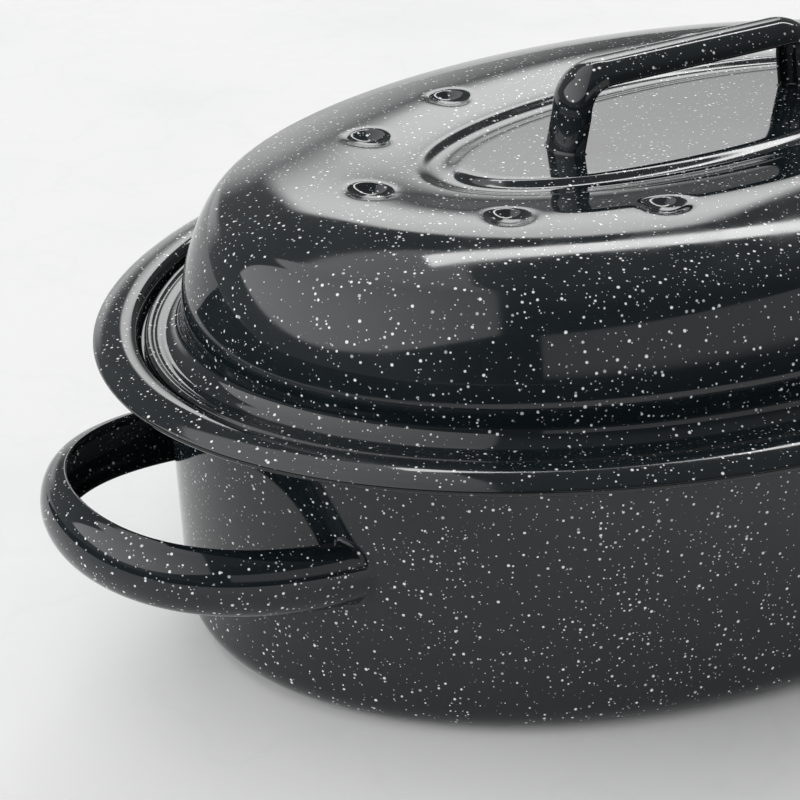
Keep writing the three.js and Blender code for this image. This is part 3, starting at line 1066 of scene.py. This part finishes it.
    def make(self, shop: Workshop) -> None:
        """Builds and dresses the lid, its handle and its welds.

        Args:
            shop: Gives the finishes.
        """
        shop.hand_over(self.build_shell(), Body.LID, Slot.ENAMEL, "lid_shell")
        strap = Strap("lid_grip", self.grip_path(), self.strap_half_width, self.strap_bulge,
                      lambda place: place[2] - self.plateau,
                      lambda place: np.array([0.0, 0.0, 1.0]), weld=self.grip_weld)
        shop.hand_over(strap.build(), Body.LID, Slot.ENAMEL, "lid_handle")
        shop.hand_over(strap.build_weld("lid_grip_weld"), Body.LID, Slot.ENAMEL)


@dataclass
class Rack:
    """The lift-out wire rack. Sizes in millimetres."""

    half: Point = (186.0, 114.0)
    rim_radius: float = 2.0
    bar_radius: float = 1.5
    rim_height: float = 14.0
    bars: int = 9
    pitch: float = 38.0
    runner: float = 44.0
    foot_x: float = 110.0
    foot_spread: float = 9.0
    foot_low: float = 3.0
    lift_spread: float = 28.0
    lift_top: float = 96.0

    def side_at(self, x: float) -> float:
        """Half width of the rim's centre line at a place along it."""
        return self.half[1] * math.sqrt(1 - (x / self.half[0]) ** 2)

    def make(self, shop: Workshop) -> None:
        """Builds and dresses every wire of the rack and the welds between them.

        Args:
            shop: Gives the finishes.
        """
        turn = np.linspace(0, 2 * math.pi, 160, endpoint=False)
        ring = np.column_stack([self.half[0] * np.cos(turn), self.half[1] * np.sin(turn),
                                np.full(160, self.rim_height)])
        wires = [(Wire("rack_rim_wire", ring, self.rim_radius, closed=True), "rack_rim")]
        bar_height = self.rim_height + self.rim_radius + self.bar_radius
        spots = []
        for i in range(self.bars):
            x = (i - (self.bars - 1) / 2) * self.pitch
            y = self.side_at(x)
            line = np.linspace((x, -y, bar_height), (x, y, bar_height), 24)
            wires.append((Wire(f"rack_bar_wire_{i + 1}", line, self.bar_radius),
                          f"rack_bar_{i + 1}"))
            joint = bar_height - self.bar_radius
            spots += [(x, side, joint) for side in (-y, y, -self.runner, self.runner)]
        half_x = self.half[0] * math.sqrt(1 - (self.runner / self.half[1]) ** 2)
        for side, sign in (("front", -1), ("back", 1)):
            y = sign * self.runner
            line = np.linspace((-half_x, y, self.rim_height), (half_x, y, self.rim_height), 60)
            wires.append((Wire(f"rack_runner_wire_{side}", line, self.rim_radius),
                          f"rack_runner_{side}"))
            spots += [(-half_x, y, self.rim_height), (half_x, y, self.rim_height)]
        for end in End:
            name = end.name.lower()
            x = end.value * self.half[0]
            low = self.rim_height + self.rim_radius
            corners = [(x, -self.lift_spread, low), (x, -self.lift_spread, self.lift_top),
                       (x, self.lift_spread, self.lift_top), (x, self.lift_spread, low)]
            wires.append((Wire(f"rack_lift_wire_{name}", bent(corners, 10), self.bar_radius),
                          f"rack_lift_{name}"))
            spots += [corners[0], corners[3]]
            for side, sign in (("front", -1), ("back", 1)):
                foot_x = end.value * self.foot_x
                y = sign * self.side_at(foot_x)
                top = self.rim_height - self.rim_radius
                front, back = y - self.foot_spread, y + self.foot_spread
                legs = [(foot_x, front, top), (foot_x, front, self.foot_low),
                        (foot_x, back, self.foot_low), (foot_x, back, top)]
                wires.append((Wire(f"rack_foot_wire_{name}_{side}", bent(legs, 4), self.bar_radius),
                              f"rack_foot_{name}_{side}"))
                spots += [legs[0], legs[3]]
        for wire, node in wires:
            shop.hand_over(wire.build(), Body.RACK, Slot.WIRE, node)
        shop.hand_over(self.build_welds(spots), Body.RACK, Slot.WIRE)

    def build_welds(self, spots: Sequence[Sequence[float]]) -> bpy.types.Object:
        """Makes the small swellings where wires are spot-welded.

        Args:
            spots: Places of the welds.

        Returns:
            One object that holds them all.
        """
        rings, sides = 9, 14
        tilt = np.linspace(0.12, math.pi - 0.12, rings)
        turn = np.linspace(0, 2 * math.pi, sides, endpoint=False)
        ball = np.array([(math.sin(q) * math.cos(w), math.sin(q) * math.sin(w), math.cos(q))
                         for q in tilt for w in turn]) * (2.3, 2.3, 1.5)
        places, faces = [], []
        for i, spot in enumerate(spots):
            base = len(places)
            size = 0.85 + 0.15 * math.sin(2.4 * i)
            places.extend(np.array(spot) + ball * size)
            faces.extend(tuple(base + k for k in f) for f in grid_faces(rings, sides, False, True))
            faces.append(tuple(base + j for j in range(sides)))
            faces.append(tuple(base + (rings - 1) * sides + j for j in range(sides - 1, -1, -1)))
        return new_piece("rack_spot_welds", np.array(places) * MM, faces)


# ---- studio ----
@dataclass(frozen=True)
class Glow:
    """A soft light or card of the room, as a patch of directions in degrees.

    Azimuth runs from +Y towards +X and elevation up from the horizon. The lower and upper
    edges may tilt and bow along the azimuth.
    """

    name: str
    centre: float
    start: float
    stop: float
    low: tuple[float, float, float]
    high: tuple[float, float, float]
    value: float
    fade: float = 0.0
    soft_side: float = 1.5
    soft_low: float = 1.5
    soft_high: float = 1.5


ROOM = (
    Glow("left_scrim", -57, -90, 15, (8, 0.26, 0.0045), (120, 0, 0), 2.75, 0.60),
    Glow("ceiling_scrim", -57, 10, 90, (46.5, 0, 0), (120, 0, 0), 2.9, 0.58),
    Glow("back_window", 33, -15, 15.5, (8, 0, 0), (41, 0.29, -0.031), 4.8, 0.0, 3, 26, 1.5),
    Glow("strip_light", 30, -3, 46, (48.2, -0.37, 0), (53.0, -0.37, 0), 9.5, 0.0, 1.2, 0.7, 0.7),
    Glow("back_wall", 8, -35, 36, (-30, 0, 0), (22, 0, 0), 1.3, 0.0, 26, 1, 14),
    Glow("grey_card", 178, -30, 27, (-0.5, 0, 0), (24.5, -0.13, 0), 0.68, 0.0, 0.8, 7, 1.0),
)


def glow_group() -> bpy.types.NodeTree:
    """Builds the patch of light in a room: a soft-edged window in azimuth and elevation.

    Returns:
        The node group, with output Light.
    """
    inputs = {"Direction": "vector", "Centre": 0.0, "Start": -10.0, "Stop": 10.0, "Low": 0.0,
              "Low Tilt": 0.0, "Low Bow": 0.0, "High": 30.0, "High Tilt": 0.0, "High Bow": 0.0,
              "Value": 1.0, "Fade": 0.0, "Soft Side": 1.0, "Soft Low": 1.0, "Soft High": 1.0}
    net, into, out = new_group("room_glow", inputs, ("Light",))
    parts = net.node("ShaderNodeSeparateXYZ")
    net.join(into["Direction"], parts.inputs[0])
    x, y, z = parts.outputs
    turn = net.math("RADIANS", into["Centre"])
    sine, cosine = net.math("SINE", turn), net.math("COSINE", turn)
    ahead = net.math("ADD", net.math("MULTIPLY", x, sine), net.math("MULTIPLY", y, cosine))
    beside = net.math("SUBTRACT", net.math("MULTIPLY", x, cosine), net.math("MULTIPLY", y, sine))
    azimuth = net.math("DEGREES", net.math("ARCTAN2", beside, ahead))
    height = net.math("DEGREES", net.math("ARCSINE", z))
    squared = net.math("MULTIPLY", azimuth, azimuth)

    def edge(name: str) -> object:
        """Elevation of the lower or upper edge at the azimuth."""
        tilt = net.math("MULTIPLY", azimuth, into[name + " Tilt"])
        bow = net.math("MULTIPLY", squared, into[name + " Bow"])
        return net.math("ADD", net.math("ADD", tilt, bow), into[name])

    def rising(value: object, start: object, soft: object) -> object:
        """Goes from 0 to 1 over a soft width past a start."""
        return net.ramp(net.math("SUBTRACT", value, start), 0.0, soft)

    sides = net.math("MULTIPLY", rising(azimuth, into["Start"], into["Soft Side"]),
                     rising(into["Stop"], azimuth, into["Soft Side"]))
    ends = net.math("MULTIPLY", rising(height, edge("Low"), into["Soft Low"]),
                    rising(edge("High"), height, into["Soft High"]))
    even = net.math("SUBTRACT", 1.0, into["Fade"])
    turned = net.math("MULTIPLY", net.math("MAXIMUM", ahead, 0.0), into["Fade"])
    facing = net.math("ADD", even, turned)
    level = net.math("MULTIPLY", facing, into["Value"])
    net.join(net.math("MULTIPLY", net.math("MULTIPLY", sides, ends), level), out["Light"])
    return net.tree


@dataclass
class Studio:
    """The table, the soft light and the camera."""

    roll: float = -0.65
    lens: float = 93.0
    eye: tuple[float, float, float] = (-0.48749, -0.56660, 0.43302)
    forward: tuple[float, float, float] = (0.47497, 0.75016, -0.46007)
    dim_right: float = 0.22
    dim_left: float = 0.36
    reach: float = 6.0

    def build_table(self) -> None:
        """Makes the tabletop."""
        mesh = bpy.data.meshes.new("tabletop")
        corners = ((-1, -1), (1, -1), (1, 1), (-1, 1))
        places = [(self.reach * x, self.reach * y, 0) for x, y in corners]
        mesh.from_pydata(places, [], [(0, 1, 2, 3)])
        table = bpy.data.objects.new("tabletop", mesh)
        bpy.context.scene.collection.objects.link(table)
        mesh.materials.append(TableFinish().build())

    def build_shade_sheet(self) -> None:
        """Lays a near-black sheet round the near side of the table, seen only in reflections:
        painted shade that darkens the reflections of the dim far table.
        """
        near, far, height = 0.60, self.reach, 0.0004
        turn = np.radians(np.linspace(-35, -200, 60))
        places = [(r * math.sin(q), r * math.cos(q), height) for r in (near, far) for q in turn]
        mesh = bpy.data.meshes.new("painted_shade_sheet")
        mesh.from_pydata(places, [], grid_faces(2, len(turn), False, False))
        shade_sheet = bpy.data.objects.new("painted_shade_sheet", mesh)
        bpy.context.scene.collection.objects.link(shade_sheet)
        finish = bpy.data.materials.new("painted_shade_sheet")
        finish.use_nodes = True
        shader = finish.node_tree.nodes["Principled BSDF"]
        # Painted shade: this near-black sheet is seen only in reflections and stands for the dim
        # far side of the table.
        shader.inputs["Base Color"].default_value = (0.012, 0.012, 0.012, 1)
        shader.inputs["Roughness"].default_value = 0.9
        mesh.materials.append(finish)
        shade_sheet.visible_camera = shade_sheet.visible_diffuse = shade_sheet.visible_shadow = False

    def build_light(self) -> None:
        """Makes the room: a dim surround with soft lights and cards in it."""
        world = bpy.data.worlds.new("studio_room")
        bpy.context.scene.world = world
        world.use_nodes = True
        net = Net(world.node_tree)
        direction = net.node("ShaderNodeTexCoord").outputs["Generated"]
        parts = net.node("ShaderNodeSeparateXYZ")
        net.join(direction, parts.inputs[0])
        ahead = net.math("MULTIPLY", parts.outputs[1], 0.75)
        leftness = net.math("SUBTRACT", ahead, parts.outputs[0])
        light = net.ramp(leftness, 0.0, 0.9, self.dim_right, self.dim_left)
        behind = net.ramp(parts.outputs[1], -0.85, -0.45, 0.45, 1.0)
        light = net.math("MULTIPLY", light, behind)
        group = glow_group()
        for glow in ROOM:
            low, high = glow.low, glow.high
            patch = net.place(group, Direction=direction, Centre=glow.centre, Start=glow.start,
                              Stop=glow.stop, Low=low[0], Low_Tilt=low[1], Low_Bow=low[2],
                              High=high[0], High_Tilt=high[1], High_Bow=high[2],
                              Value=glow.value, Fade=glow.fade, Soft_Side=glow.soft_side,
                              Soft_Low=glow.soft_low, Soft_High=glow.soft_high)
            light = net.math("MAXIMUM", light, patch.outputs["Light"])
        back = world.node_tree.nodes["Background"]
        net.join(light, back.inputs["Strength"])
        back.inputs["Color"].default_value = (1, 1, 1, 1)

    def build_camera(self) -> None:
        """Makes the camera and turns it to the object."""
        data = bpy.data.cameras.new("view")
        data.lens = self.lens
        data.sensor_width = 36.0
        data.clip_start, data.clip_end = 0.01, 50.0
        camera = bpy.data.objects.new("view", data)
        bpy.context.scene.collection.objects.link(camera)
        camera.location = self.eye
        forward = Vector(self.forward).normalized()
        right = forward.cross(Vector((0, 0, 1))).normalized()
        up = right.cross(forward)
        roll = math.radians(self.roll)
        turned_right = right * math.cos(roll) + up * math.sin(roll)
        turned_up = up * math.cos(roll) - right * math.sin(roll)
        matrix = camera.matrix_world.to_3x3()
        matrix.col[0], matrix.col[1], matrix.col[2] = turned_right, turned_up, -forward
        camera.rotation_euler = matrix.to_euler()
        bpy.context.scene.camera = camera

    def make(self) -> None:
        """Builds the table, the light and the camera, and sets how tones are shown."""
        self.build_table()
        self.build_shade_sheet()
        self.build_light()
        self.build_camera()
        bpy.context.scene.view_settings.view_transform = "Standard"


def far_side(node: str, axis: int) -> float:
    """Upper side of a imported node's box along an axis, in millimetres to a tenth."""
    return round(float(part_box(node)[1][axis]) / MM, 1)


def main() -> None:
    """Builds the roaster and its studio, and reports each piece."""
    logging.basicConfig(level=logging.INFO, format="%(name)s: %(message)s")
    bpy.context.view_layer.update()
    shop = Workshop()
    oval = Oval(half_length=far_side("pan_body", 0), half_width=far_side("pan_body", 1))
    Pan(oval, crest=far_side("pan_body", 2)).make(shop)
    Lid(oval, plateau=far_side("lid_shell", 2) - Lid.edge_rise).make(shop)
    wire = Rack.rim_radius
    Rack(half=(far_side("rack_rim", 0) - wire, far_side("rack_rim", 1) - wire)).make(shop)
    Studio().make()


if __name__ == "__main__":
    main()
